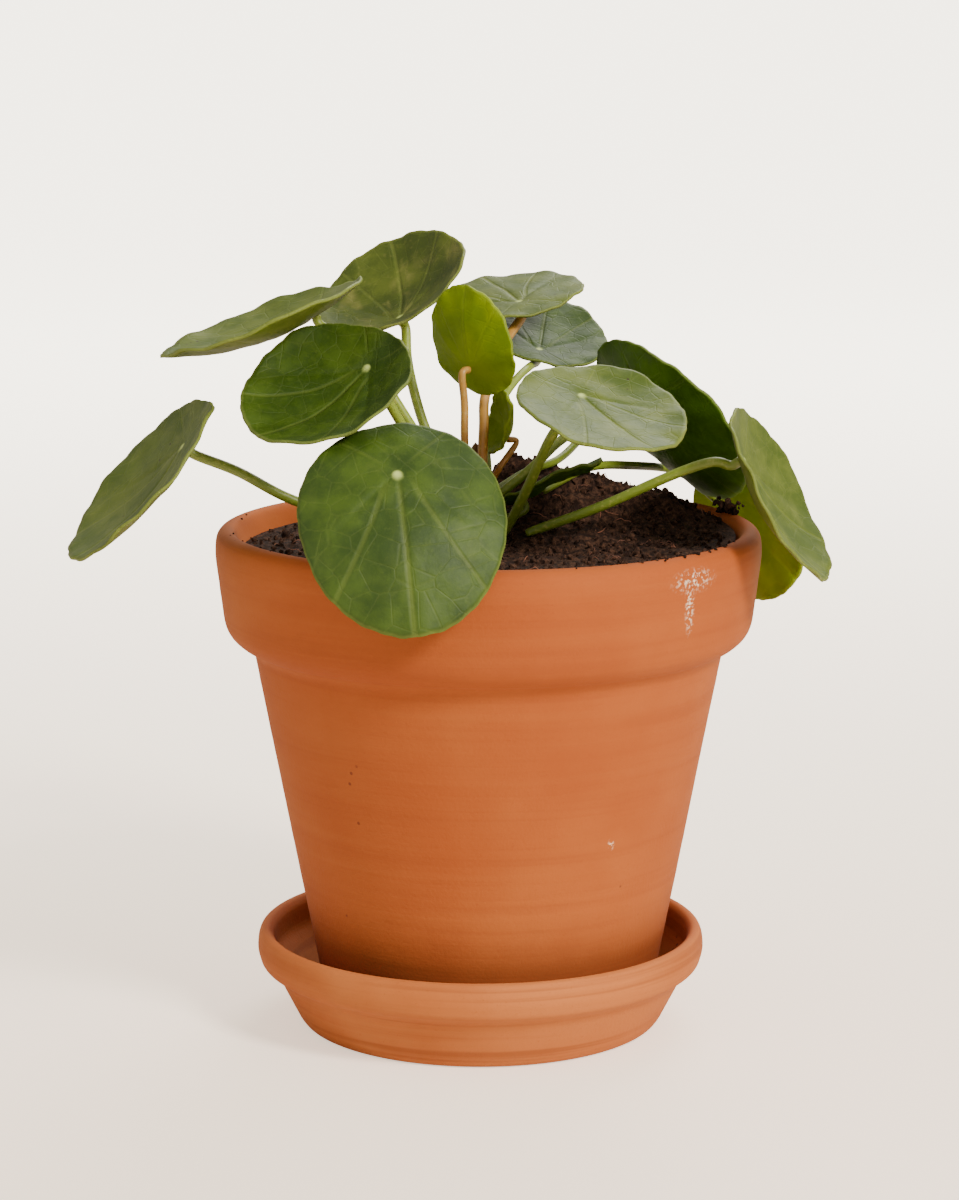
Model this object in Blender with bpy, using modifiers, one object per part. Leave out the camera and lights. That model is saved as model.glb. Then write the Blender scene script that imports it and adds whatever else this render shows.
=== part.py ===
"""Potted pilea: a young round-leaved house plant in a clay pot that stands on its saucer.

The origin is on the pot's axis, on the ground under the saucer. +Z is up and the plant's
front, where its largest leaf hangs over the rim, faces -Y. Lengths below are in millimetres
and are turned into metres by MM.
"""
import math
from dataclasses import dataclass

import bmesh
import bpy
from mathutils import Euler, Matrix, Vector

MM = 0.001
GAP = 0.3                      # clearance between pieces that touch

# Saucer: outer radius and height of its rolled lip, its foot and its floor
SAUCER_SHIFT_X = -2.5          # the pot stands a little off the saucer's centre
SAUCER_LIP_RADIUS = 71.0
SAUCER_HEIGHT = 30.3
SAUCER_FOOT_RADIUS = 56.0
SAUCER_FLOOR = 8.0
SAUCER_WALL = 4.6

# Pot: collar above, tapered body below
POT_BASE = SAUCER_FLOOR + GAP
POT_TOP = 158.5
POT_RIM_RADIUS = 85.2
POT_MOUTH_RADIUS = 78.6
POT_NECK_RADIUS = 73.1
POT_NECK_HEIGHT = 118.0
POT_FOOT_RADIUS = 52.0
POT_WALL = 6.4
POT_FLOOR = POT_BASE + 7.0
DRAIN_RADIUS = 6.0
TURN_STEPS = 40

# Soil: level at the wall, slope to the right, and three soft mounds (x, y, height, spread x, spread y)
SOIL_LEVEL = 154.2
SOIL_SLOPE = 0.030
SOIL_MOUNDS = ((22.0, 28.0, 17.0, 38.0, 24.0), (7.0, 31.0, 9.0, 9.5, 8.0), (61.0, 24.0, 5.0, 8.0, 8.0))
SOIL_RINGS = 9

# Stem: a short woody crown that stands in the soil behind the front leaf
STEM_X = -4.0
STEM_Y = -4.0
STEM_BASE = 144.0
STEM_TOP = 175.0
STEM_FOOT_RADIUS = 4.4
STEM_TIP_RADIUS = 3.2
BUD_RADIUS = 2.3
BUD_LENGTH = 10.0

# Leaves: blade thickness, mesh density, and how far a stalk runs square to the blade at its end
BLADE_THICKNESS = 1.2
BLADE_SEGMENTS = 20
BLADE_INSETS = (0.30, 0.34)
EGG_SHAPE = 0.08
STALK_LEAD = 5.0
SEAT_GAP = 0.75                # a stalk's end under its dished blade
STALK_SIDES_RESOLUTION = 2
STALK_SPANS = 3


@dataclass(frozen=True)
class Leaf:
    """One round leaf on its stalk.

    hub is where the stalk meets the blade. The blade's upper face looks along azimuth and
    elevation, its tip points downhill, turned by roll, and cup is how far its margin rises
    over the hub. hub_share is the hub's distance from the near margin over the length.
    route runs from the stalk's foot on the stem or the soil to just before the hub.
    """

    name: str
    hub: tuple
    length: float
    width_ratio: float
    azimuth: float
    elevation: float
    roll: float
    cup: float
    hub_share: float
    stalk_radius: float
    route: tuple


LEAVES = (
    Leaf("front", (-26.6, -76.0, 186.4), 68.1, 0.88, 273, 33, 5, -8.0, 0.27, 1.6,
         ((-4.9, -9.2, 160.5), (-12.0, -30.0, 174.0), (-22.0, -60.0, 183.0))),
    Leaf("left_front", (-36.2, -38.0, 213.0), 52.3, 1.07, 239, 54, -24, 7.5, 0.20, 1.5,
         ((-7.4, -7.7, 164.5), (-17.5, -18.0, 178.0), (-26.3, -26.0, 193.5), (-31.5, -32.0, 203.5))),
    Leaf("far_left", (-92.8, -25.0, 187.4), 63.6, 1.01, 195, 43, 13, 5.8, 0.23, 1.6,
         ((-8.6, -4.9, 159.5), (-30.0, -14.0, 161.5), (-58.0, -22.0, 169.0), (-75.8, -24.0, 178.8))),
    Leaf("upper_left", (-53.4, -5.0, 226.3), 65.3, 1.04, 181, 70, 28, 6.5, 0.22, 1.5,
         ((-9.6, -3.4, 165.0), (-17.5, -6.0, 180.5), (-25.6, -8.0, 193.8), (-39.0, -7.0, 214.0))),
    Leaf("top", (-28.2, 22.0, 221.3), 50.9, 1.02, 225, 52, -140, 7.8, 0.27, 1.6,
         ((-7.8, -0.9, 169.5), (-14.0, 7.0, 178.0), (-20.2, 12.0, 188.2), (-25.4, 18.5, 207.0))),
    Leaf("lime", (-5.0, -5.0, 208.4), 35.6, 0.94, 48, 15, -178, 3.5, 0.26, 1.2,
         ((-6.3, -8.1, 171.5), (-7.4, -9.0, 185.3), (-7.4, -7.5, 198.0))),
    Leaf("back_top", (10.3, 48.0, 223.8), 49.6, 0.98, 230, 76, -121, -1.3, 0.26, 1.6,
         ((-1.4, -8.9, 172.0), (-1.9, -8.5, 180.7), (-1.4, -3.0, 190.9), (-1.0, 6.0, 199.0), (4.8, 34.0, 211.5))),
    Leaf("back_right", (16.9, 58.0, 207.2), 45.9, 0.95, 297, 64, 150, 2.1, 0.25, 1.3,
         ((0.0, -0.8, 174.0), (-0.4, 11.5, 187.0), (7.2, 30.0, 198.7), (13.6, 48.0, 203.0))),
    Leaf("right_front", (27.7, -32.0, 203.6), 53.2, 0.96, 296, 68, 7, 2.8, 0.26, 1.6,
         ((4.6, -10.6, 156.9), (12.7, -19.5, 174.8), (19.5, -26.5, 191.1))),
    Leaf("right_back", (51.5, 22.0, 195.8), 64.9, 0.99, 32, 36, 21, 7.0, 0.26, 1.5,
         ((1.3, -5.9, 167.5), (13.8, -4.0, 177.5), (23.5, 5.0, 185.4), (38.0, 15.0, 191.0))),
    Leaf("far_right", (78.1, -22.0, 182.8), 59.1, 0.99, 346, 30, -2, 6.7, 0.25, 1.6,
         ((10.8, -12.0, 157.7), (34.3, -16.0, 166.8), (54.0, -20.0, 176.4), (68.0, -21.0, 181.6))),
    Leaf("low_right", (77.5, 54.0, 159.5), 52.0, 0.97, 40, 3, -55, -1.0, 0.23, 1.4,
         ((17.0, 10.0, 167.8), (32.0, 26.0, 173.2), (47.5, 49.5, 170.2), (58.7, 63.5, 167.4), (66.5, 58.5, 166.0))),
    Leaf("low_dark", (9.9, -0.6, 168.2), 39.6, 0.48, 143, 63, -166, -1.2, 0.25, 1.2,
         ((1.2, -2.9, 161.5), (6.5, -2.6, 161.6))),
    Leaf("young", (4.3, -3.5, 186.2), 20.3, 0.96, 199, 12, -173, 3.9, 0.24, 1.0,
         ((0.7, -4.3, 172.5), (4.4, -5.6, 179.0))),
    Leaf("behind", (37.0, 70.0, 190.0), 38.0, 0.98, 75, 50, 10, 3.0, 0.26, 1.3,
         ((-0.4, -1.5, 168.0), (12.0, 12.0, 173.8), (22.1, 25.0, 175.5), (30.0, 48.0, 179.5), (34.5, 62.0, 184.5))),
)


def clear_scene():
    """Remove whatever the scene holds."""
    for leftover in list(bpy.data.objects):
        bpy.data.objects.remove(leftover, do_unlink=True)


def new_collection(name):
    """Make a collection in the scene."""
    collection = bpy.data.collections.new(name)
    bpy.context.scene.collection.children.link(collection)
    return collection


def principled(name, colour, roughness, metallic=0.0):
    """Make a plain Principled material."""
    material = bpy.data.materials.new(name)
    material.use_nodes = True
    shader = material.node_tree.nodes["Principled BSDF"]
    shader.inputs["Base Color"].default_value = (*colour, 1.0)
    shader.inputs["Roughness"].default_value = roughness
    shader.inputs["Metallic"].default_value = metallic
    material.diffuse_color = (*colour, 1.0)
    return material


def pot_clay():
    """Dry orange earthenware."""
    return principled("pot_clay", (0.52, 0.16, 0.055), 0.85)


def saucer_clay():
    """Paler earthenware of the saucer."""
    return principled("saucer_clay", (0.62, 0.24, 0.10), 0.85)


def dark_soil():
    """Moist potting soil."""
    return principled("potting_soil", (0.025, 0.012, 0.007), 0.95)


def woody_stem():
    """Brown bark of the short stem."""
    return principled("stem_bark", (0.16, 0.08, 0.035), 0.8)


def leaf_green(name):
    """Leaf colour: the young blades are lime, the others a mid green."""
    if name in ("lime", "young", "low_right"):
        return principled("lime_blade", (0.28, 0.42, 0.02), 0.45)
    return principled("green_blade", (0.08, 0.20, 0.03), 0.45)


def stalk_green(name):
    """Stalk colour: reddish on the young leaves, yellow-green on the others."""
    if name in ("lime", "young", "back_top"):
        return principled("reddish_stalk", (0.36, 0.17, 0.06), 0.5)
    return principled("green_stalk", (0.30, 0.36, 0.06), 0.5)


def place(name, mesh, material, collection):
    """Make an object from a mesh, with its material, in a collection."""
    mesh.materials.append(material)
    piece = bpy.data.objects.new(name, mesh)
    collection.objects.link(piece)
    return piece


def shade_round(mesh, angle=40.0):
    """Shade a mesh smooth, apart from its sharp edges."""
    mesh.shade_smooth()
    mesh.set_sharp_from_angle(angle=math.radians(angle))


def turned(name, profile, closed, material, collection):
    """Turn a profile of (radius, height) points, outer side downwards, about the Z axis."""
    mesh = bpy.data.meshes.new(name)
    sketch = bmesh.new()
    corners = [sketch.verts.new((radius * MM, 0.0, height * MM)) for radius, height in profile]
    for start, end in zip(corners, corners[1:]):
        sketch.edges.new((start, end))
    if closed:
        sketch.edges.new((corners[-1], corners[0]))
    sketch.to_mesh(mesh)
    sketch.free()
    piece = place(name, mesh, material, collection)
    screw = piece.modifiers.new("turn", "SCREW")
    screw.angle = 2.0 * math.pi
    screw.steps = TURN_STEPS
    screw.render_steps = TURN_STEPS
    screw.use_merge_vertices = True
    screw.merge_threshold = 0.00005
    screw.use_smooth_shade = True
    return piece


def arc(centre, radius, start, end, count):
    """Points of an arc in the profile plane, angles in degrees from the outward direction."""
    points = []
    for step in range(count):
        angle = math.radians(start + (end - start) * step / (count - 1))
        points.append((centre[0] + radius * math.cos(angle), centre[1] + radius * math.sin(angle)))
    return points


def make_saucer(collection):
    """The saucer: a shallow dish whose wall ends in a thick rolled band."""
    lip = SAUCER_WALL / 2.0
    lip_centre = (SAUCER_LIP_RADIUS - 0.6 - lip, SAUCER_HEIGHT - lip)
    band_foot = SAUCER_HEIGHT - 13.0
    profile = [
        (0.0, SAUCER_FLOOR),
        (SAUCER_FOOT_RADIUS - 2.5, SAUCER_FLOOR),
        (SAUCER_FOOT_RADIUS + 1.0, SAUCER_FLOOR + 3.0),
        (lip_centre[0] - lip - 0.6, SAUCER_HEIGHT - 9.0),
    ]
    profile += arc(lip_centre, lip, 180.0, 20.0, 6)
    profile += [
        (SAUCER_LIP_RADIUS, SAUCER_HEIGHT - 6.5),
        (SAUCER_LIP_RADIUS - 1.2, band_foot + 2.0),
        (SAUCER_LIP_RADIUS - 4.3, band_foot),
        (SAUCER_LIP_RADIUS - 6.6, band_foot - 2.4),
        (SAUCER_FOOT_RADIUS + 1.8, 2.0),
        (SAUCER_FOOT_RADIUS, 0.0),
        (0.0, 0.0),
    ]
    saucer = turned("saucer", profile, False, saucer_clay(), collection)
    saucer.location = (SAUCER_SHIFT_X * MM, 0.0, 0.0)
    return saucer


def body_radius(height):
    """Outer radius of the pot's tapered body at a height."""
    slope = (POT_NECK_RADIUS - POT_FOOT_RADIUS) / (POT_NECK_HEIGHT - POT_BASE)
    return POT_FOOT_RADIUS + slope * (height - POT_BASE)


def bore_radius(height):
    """Inner radius of the pot at a height, wider inside the collar."""
    if height <= POT_NECK_HEIGHT:
        return body_radius(height) - POT_WALL
    share = (height - POT_NECK_HEIGHT) / (POT_TOP - 2.0 - POT_NECK_HEIGHT)
    neck = POT_NECK_RADIUS - POT_WALL
    return neck + (POT_MOUTH_RADIUS - neck) * share


def make_pot(collection):
    """The pot: tapered body, tall collar with a rounded rim, and a drain hole in its floor."""
    profile = [
        (POT_MOUTH_RADIUS + 1.7, POT_TOP),
        (POT_RIM_RADIUS - 2.2, POT_TOP - 0.3),
        (POT_RIM_RADIUS - 0.6, POT_TOP - 1.9),
        (POT_RIM_RADIUS, POT_TOP - 4.5),
        (POT_RIM_RADIUS, POT_TOP - 9.0),
        (POT_RIM_RADIUS - 2.6, POT_TOP - 29.5),
        (POT_RIM_RADIUS - 4.2, POT_TOP - 33.0),
        (POT_RIM_RADIUS - 7.2, POT_TOP - 35.6),
        (POT_NECK_RADIUS + 2.1, POT_TOP - 36.8),
        (POT_NECK_RADIUS + 0.5, POT_TOP - 38.6),
        (POT_NECK_RADIUS, POT_NECK_HEIGHT),
        (body_radius(POT_BASE + 1.5), POT_BASE + 1.5),
        (POT_FOOT_RADIUS - 1.5, POT_BASE),
        (DRAIN_RADIUS, POT_BASE),
        (DRAIN_RADIUS, POT_FLOOR),
        (bore_radius(POT_FLOOR) - 2.5, POT_FLOOR),
        (bore_radius(POT_FLOOR + 2.5), POT_FLOOR + 2.5),
        (bore_radius(POT_NECK_HEIGHT), POT_NECK_HEIGHT),
        (POT_MOUTH_RADIUS, POT_TOP - 2.0),
    ]
    return turned("pot", profile, True, pot_clay(), collection)


def soil_height(x, y):
    """Height of the soil's surface over the ground at a place, in millimetres."""
    height = SOIL_LEVEL + SOIL_SLOPE * x
    for mound_x, mound_y, rise, spread_x, spread_y in SOIL_MOUNDS:
        height += rise * math.exp(-((x - mound_x) / spread_x) ** 2 - ((y - mound_y) / spread_y) ** 2)
    highest_at_wall = POT_TOP - 2.5
    wall_share = min(1.0, max(0.0, (POT_MOUTH_RADIUS - math.hypot(x, y)) / 12.0))
    return min(height, highest_at_wall + (height - highest_at_wall) * wall_share)


def make_soil(collection, cutters):
    """The soil: it fills the pot, heaped at the back, with a socket where the stem stands."""
    rim = SOIL_LEVEL + 1.0
    profile = [(bore_radius(rim) * share / SOIL_RINGS, rim) for share in range(SOIL_RINGS)]
    profile += [
        (bore_radius(rim) - GAP, rim),
        (bore_radius(POT_NECK_HEIGHT) - GAP, POT_NECK_HEIGHT),
        (bore_radius(POT_FLOOR + 2.5) - GAP, POT_FLOOR + 2.5),
        (bore_radius(POT_FLOOR) - 2.5 - GAP, POT_FLOOR + GAP),
        (0.0, POT_FLOOR + GAP),
    ]
    shape = bmesh.new()
    corners = [shape.verts.new((radius * MM, 0.0, height * MM)) for radius, height in profile]
    edges = [shape.edges.new(pair) for pair in zip(corners, corners[1:])]
    bmesh.ops.spin(shape, geom=corners + edges, axis=(0.0, 0.0, 1.0), cent=(0.0, 0.0, 0.0),
                   angle=2.0 * math.pi, steps=TURN_STEPS, use_merge=True)
    bmesh.ops.remove_doubles(shape, verts=shape.verts, dist=0.00002)
    bmesh.ops.recalc_face_normals(shape, faces=shape.faces)
    for corner in shape.verts:
        if corner.co.z > (rim - 0.1) * MM:
            corner.co.z = soil_height(corner.co.x / MM, corner.co.y / MM) * MM
            reach = math.hypot(corner.co.x, corner.co.y)
            room = (bore_radius(corner.co.z / MM) - GAP) * MM
            if reach > room or reach > (bore_radius(rim) - 1.0) * MM:
                corner.co.x *= room / reach
                corner.co.y *= room / reach
    bmesh.ops.triangulate(shape, faces=shape.faces)
    mesh = bpy.data.meshes.new("soil")
    shape.to_mesh(mesh)
    shape.free()
    shade_round(mesh)
    soil = place("soil", mesh, dark_soil(), collection)
    socket = round_bar("stem_socket", STEM_FOOT_RADIUS + GAP, STEM_FOOT_RADIUS + GAP,
                       STEM_BASE - GAP, STEM_TOP, cutters, None)
    socket.hide_render = True
    socket.display_type = "WIRE"
    cut = soil.modifiers.new("stem_socket", "BOOLEAN")
    cut.operation = "DIFFERENCE"
    cut.solver = "EXACT"
    cut.object = socket
    return soil


def round_bar(name, foot_radius, tip_radius, foot, tip, collection, material):
    """An upright round bar on the stem's axis, between two heights."""
    shape = bmesh.new()
    bmesh.ops.create_cone(shape, cap_ends=True, segments=12, radius1=foot_radius * MM,
                          radius2=tip_radius * MM, depth=(tip - foot) * MM)
    mesh = bpy.data.meshes.new(name)
    shape.to_mesh(mesh)
    shape.free()
    shade_round(mesh)
    if material is None:
        bar = bpy.data.objects.new(name, mesh)
        collection.objects.link(bar)
    else:
        bar = place(name, mesh, material, collection)
    bar.location = (STEM_X * MM, STEM_Y * MM, (foot + tip) / 2.0 * MM)
    return bar


def make_stem(collection):
    """The short woody stem and the growing bud on its top."""
    round_bar("stem", STEM_FOOT_RADIUS, STEM_TIP_RADIUS, STEM_BASE, STEM_TOP, collection, woody_stem())
    shape = bmesh.new()
    bmesh.ops.create_uvsphere(shape, u_segments=12, v_segments=8, radius=BUD_LENGTH / 2.0 * MM)
    slimness = 2.0 * BUD_RADIUS / BUD_LENGTH
    bmesh.ops.scale(shape, vec=(slimness, slimness, 1.0), verts=shape.verts)
    mesh = bpy.data.meshes.new("bud")
    shape.to_mesh(mesh)
    shape.free()
    shade_round(mesh)
    bud = place("bud", mesh, leaf_green("young"), collection)
    bud.location = (STEM_X * MM, STEM_Y * MM, (STEM_TOP + GAP + BUD_LENGTH / 2.0) * MM)


def blade_turn(leaf):
    """Rotation that lays a flat blade, tip along +X, the way its leaf faces."""
    facing = Euler((0.0, math.radians(90.0 - leaf.elevation), math.radians(leaf.azimuth)), "XYZ")
    return facing.to_matrix() @ Matrix.Rotation(math.radians(leaf.roll), 3, "Z")


def shape_blade(leaf, corner):
    """Move a point of the unit disc to its place on the blade, hub at the origin."""
    half = leaf.length / 2.0
    hub_reach = 1.0 - 2.0 * leaf.hub_share
    along = corner.x - hub_reach * (1.0 - min(1.0, math.hypot(corner.x, corner.y)))
    across = corner.y * leaf.width_ratio * (1.0 - EGG_SHAPE * along)
    lift = leaf.cup * (along ** 2 + across ** 2 - hub_reach ** 2)
    corner.x = (along + hub_reach) * half * MM
    corner.y = across * half * MM
    corner.z = lift * MM


def make_blade(leaf, collection):
    """A round blade: a dished disc with its own thickness."""
    shape = bmesh.new()
    bmesh.ops.create_circle(shape, cap_ends=True, segments=BLADE_SEGMENTS, radius=1.0)
    for inset in BLADE_INSETS:
        middle = max(shape.faces, key=lambda face: len(face.verts))
        bmesh.ops.inset_region(shape, faces=[middle], thickness=inset)
    middle = max(shape.faces, key=lambda face: len(face.verts))
    bmesh.ops.poke(shape, faces=[middle])
    for vertex in shape.verts:
        shape_blade(leaf, vertex.co)
    bmesh.ops.triangulate(shape, faces=shape.faces)
    mesh = bpy.data.meshes.new("blade_" + leaf.name)
    shape.to_mesh(mesh)
    shape.free()
    mesh.shade_smooth()
    blade = place("blade_" + leaf.name, mesh, leaf_green(leaf.name), collection)
    blade.rotation_euler = blade_turn(leaf).to_euler()
    blade.location = Vector(leaf.hub) * MM
    skin = blade.modifiers.new("thickness", "SOLIDIFY")
    skin.thickness = BLADE_THICKNESS * MM
    skin.offset = 0.0
    return blade


def smooth_route(points):
    """Points of a smooth curve (Catmull-Rom) through a stalk's own points."""
    padded = [points[0] * 2.0 - points[1]] + points + [points[-1] * 2.0 - points[-2]]
    smooth = []
    for before, start, end, after in zip(padded, padded[1:], padded[2:], padded[3:]):
        for step in range(STALK_SPANS):
            t = step / STALK_SPANS
            smooth.append(0.5 * (2.0 * start + (end - before) * t
                                 + (2.0 * before - 5.0 * start + 4.0 * end - after) * t ** 2
                                 + (3.0 * start - before - 3.0 * end + after) * t ** 3))
    return smooth + [points[-1]]


def make_stalk(leaf, collection):
    """A leaf's stalk: a round tube that meets the blade's underside squarely at the hub."""
    hub = Vector(leaf.hub)
    normal = blade_turn(leaf) @ Vector((0.0, 0.0, 1.0))
    touch = BLADE_THICKNESS / 2.0 + SEAT_GAP
    points = [Vector(point) for point in leaf.route]
    points += [hub - normal * STALK_LEAD, hub - normal * touch]
    curve = bpy.data.curves.new("stalk_" + leaf.name, "CURVE")
    curve.dimensions = "3D"
    curve.bevel_depth = leaf.stalk_radius * MM
    curve.bevel_resolution = STALK_SIDES_RESOLUTION
    curve.use_fill_caps = True
    route = smooth_route(points)
    spline = curve.splines.new("POLY")
    spline.points.add(len(route) - 1)
    for control, point in zip(spline.points, route):
        control.co = (*(point * MM), 1.0)
    curve.materials.append(stalk_green(leaf.name))
    stalk = bpy.data.objects.new("stalk_" + leaf.name, curve)
    collection.objects.link(stalk)
    return stalk


def main():
    """Build every piece of the plant, its pot and its saucer."""
    clear_scene()
    parts = new_collection("potted_pilea")
    cutters = new_collection("cutters")
    make_saucer(parts)
    make_pot(parts)
    make_soil(parts, cutters)
    make_stem(parts)
    for leaf in LEAVES:
        make_blade(leaf, parts)
        make_stalk(leaf, parts)


main()
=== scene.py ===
"""Looks of the potted pilea: leaves, stalks, soil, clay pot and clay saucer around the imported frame."""
import logging
import math
import random
from dataclasses import dataclass, field
from enum import Enum
from typing import Any, Sequence

import bmesh
import bpy
from mathutils import Euler, Matrix, Vector, noise
from mathutils.bvhtree import BVHTree

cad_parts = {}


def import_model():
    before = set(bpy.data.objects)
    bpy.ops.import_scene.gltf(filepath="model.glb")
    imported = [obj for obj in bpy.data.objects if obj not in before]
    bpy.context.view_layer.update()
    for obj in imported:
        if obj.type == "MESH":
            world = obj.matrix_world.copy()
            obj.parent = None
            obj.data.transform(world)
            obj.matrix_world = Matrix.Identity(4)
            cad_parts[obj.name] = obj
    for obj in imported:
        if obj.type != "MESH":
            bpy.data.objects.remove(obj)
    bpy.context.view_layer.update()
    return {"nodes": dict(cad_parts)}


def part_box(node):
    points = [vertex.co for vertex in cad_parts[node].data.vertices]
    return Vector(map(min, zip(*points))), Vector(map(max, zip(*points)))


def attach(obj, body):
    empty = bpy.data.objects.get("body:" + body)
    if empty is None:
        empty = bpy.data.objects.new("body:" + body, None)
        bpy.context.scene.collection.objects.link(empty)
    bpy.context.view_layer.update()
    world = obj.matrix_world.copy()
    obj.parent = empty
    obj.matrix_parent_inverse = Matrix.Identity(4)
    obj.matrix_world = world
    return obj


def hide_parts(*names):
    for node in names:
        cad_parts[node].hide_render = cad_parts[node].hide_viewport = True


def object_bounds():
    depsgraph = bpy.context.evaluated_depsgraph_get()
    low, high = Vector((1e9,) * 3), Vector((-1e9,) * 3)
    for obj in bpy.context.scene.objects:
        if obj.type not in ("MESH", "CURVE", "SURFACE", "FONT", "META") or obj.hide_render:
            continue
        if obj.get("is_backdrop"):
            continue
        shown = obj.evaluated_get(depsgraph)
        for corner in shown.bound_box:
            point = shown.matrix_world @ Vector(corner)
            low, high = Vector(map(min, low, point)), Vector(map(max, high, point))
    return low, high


LOG = logging.getLogger("pilea")
MM = 0.001
Colour = tuple[float, float, float]
Profile = list[tuple[float, float]]


def srgb(red: int, green: int, blue: int) -> Colour:
    """Turn an everyday 0-255 colour into the linear values that a shader takes."""
    return tuple(
        c / 255.0 / 12.92 if c < 11 else ((c / 255.0 + 0.055) / 1.055) ** 2.4 for c in (red, green, blue)
    )


# ---------------------------------------------------------------- shader tools


class Value:
    """A socket of a shader graph that can be used in Python sums."""

    def __init__(self, graph: "Graph", socket: Any) -> None:
        """Keep the socket and the graph that owns it."""
        self.graph = graph
        self.socket = socket

    def _math(self, operation: str, first: Any, second: Any) -> "Value":
        """Add a Math node."""
        return self.graph.node("ShaderNodeMath", {"operation": operation}, {0: first, 1: second})

    def __add__(self, other: Any) -> "Value":
        """Sum."""
        return self._math("ADD", self, other)

    __radd__ = __add__

    def __sub__(self, other: Any) -> "Value":
        """Difference."""
        return self._math("SUBTRACT", self, other)

    def __rsub__(self, other: Any) -> "Value":
        """Reflected difference."""
        return self._math("SUBTRACT", other, self)

    def __mul__(self, other: Any) -> "Value":
        """Product."""
        return self._math("MULTIPLY", self, other)

    __rmul__ = __mul__

    def __abs__(self) -> "Value":
        """Size without sign."""
        return self._math("ABSOLUTE", self, 0.0)

    def maximum(self, other: Any) -> "Value":
        """The larger of two values."""
        return self._math("MAXIMUM", self, other)

    def power(self, exponent: float) -> "Value":
        """Raise to a power."""
        return self._math("POWER", self, exponent)


class Graph:
    """A material's node graph, built by plain calls."""

    def __init__(self, name: str, owner: Any = None) -> None:
        """Start an empty graph on a new material, or on a given world.

        Args:
            name: the material's name.
            owner: a world, where the graph isn't a material's.
        """
        self.material = owner or bpy.data.materials.new(name)
        self.material.use_nodes = True
        self.tree = self.material.node_tree
        self.tree.nodes.clear()

    def node(self, kind: str, settings: dict | None = None, inputs: dict | None = None,
             output: Any = 0) -> Value:
        """Add a node.

        Args:
            kind: the node's type.
            settings: its attributes, set first.
            inputs: values or links, by socket name or number.
            output: which output is handed back.

        Returns:
            The chosen output as a Value.
        """
        made = self.tree.nodes.new(kind)
        for key, setting in (settings or {}).items():
            setattr(made, key, setting)
        for key, given in (inputs or {}).items():
            socket = made.inputs[key]
            if isinstance(given, Value):
                self.tree.links.new(given.socket, socket)
            elif isinstance(given, tuple) and len(given) == 3 and len(socket.default_value) == 4:
                socket.default_value = (*given, 1.0)
            else:
                socket.default_value = given
        return Value(self, made.outputs[output])

    def place(self) -> Value:
        """Object coordinates."""
        return self.node("ShaderNodeTexCoord", output="Object")

    def stretched(self, scale: tuple[float, float, float]) -> Value:
        """Object coordinates with a scale for each axis."""
        return self.node("ShaderNodeMapping", {}, {"Vector": self.place(), "Scale": scale})

    def noise(self, vector: Value, scale: float, detail: float = 3.0, rough: float = 0.55) -> Value:
        """Soft fractal noise."""
        wanted = {"Vector": vector, "Scale": scale, "Detail": detail, "Roughness": rough}
        return self.node("ShaderNodeTexNoise", {}, wanted)

    def cells(self, vector: Value, scale: float, feature: str = "F1") -> Value:
        """Voronoi distance."""
        wanted = {"Vector": vector, "Scale": scale}
        return self.node("ShaderNodeTexVoronoi", {"feature": feature}, wanted, "Distance")

    def step(self, value: Value, low: float, high: float) -> Value:
        """Smooth step from 0 at low to 1 at high."""
        wanted = {0: value, 1: low, 2: high, 3: 0.0, 4: 1.0}
        return self.node("ShaderNodeMapRange", {"interpolation_type": "SMOOTHSTEP"}, wanted)

    def mix(self, factor: Any, first: Any, second: Any) -> Value:
        """Mix two colours."""
        return self.node("ShaderNodeMix", {"data_type": "RGBA"}, {0: factor, 6: first, 7: second}, 2)

    def near(self, centre: tuple[float, float, float], low: float, high: float,
             scale: tuple[float, float, float] = (1.0, 1.0, 1.0)) -> Value:
        """A soft spot that is 1 at a place and 0 past a distance, with a scale for each axis."""
        shift = tuple(-c * s for c, s in zip(centre, scale))
        wanted = {"Vector": self.place(), "Location": shift, "Scale": scale}
        moved = self.node("ShaderNodeMapping", {}, wanted)
        length = self.node("ShaderNodeVectorMath", {"operation": "LENGTH"}, {0: moved}, "Value")
        return 1.0 - self.step(length, low, high)

    def bump(self, height: Value, distance: float, strength: float = 1.0) -> Value:
        """Turn a height into a bumped normal."""
        return self.node("ShaderNodeBump", {}, {"Height": height, "Distance": distance, "Strength": strength})

    def finish(self, wanted: dict, see_through: float = 0.0, glow: Colour = (1.0, 1.0, 1.0)) -> Any:
        """Close the graph with a Principled shader.

        Args:
            wanted: inputs of the shader.
            see_through: share of light that a thin blade lets through.
            glow: colour of that light.

        Returns:
            The material.
        """
        shader = self.node("ShaderNodeBsdfPrincipled", {}, wanted)
        if see_through > 0.0:
            soft = self.node("ShaderNodeBsdfTranslucent", {}, {"Color": glow})
            shader = self.node("ShaderNodeMixShader", {}, {0: see_through, 1: shader, 2: soft})
        self.node_out(shader)
        return self.material

    def node_out(self, shader: Value) -> None:
        """Link a shader to the output that its owner has."""
        world = isinstance(self.material, bpy.types.World)
        out = self.tree.nodes.new("ShaderNodeOutputWorld" if world else "ShaderNodeOutputMaterial")
        self.tree.links.new(shader.socket, out.inputs["Surface"])


# -------------------------------------------------------------------- finishes


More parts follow.
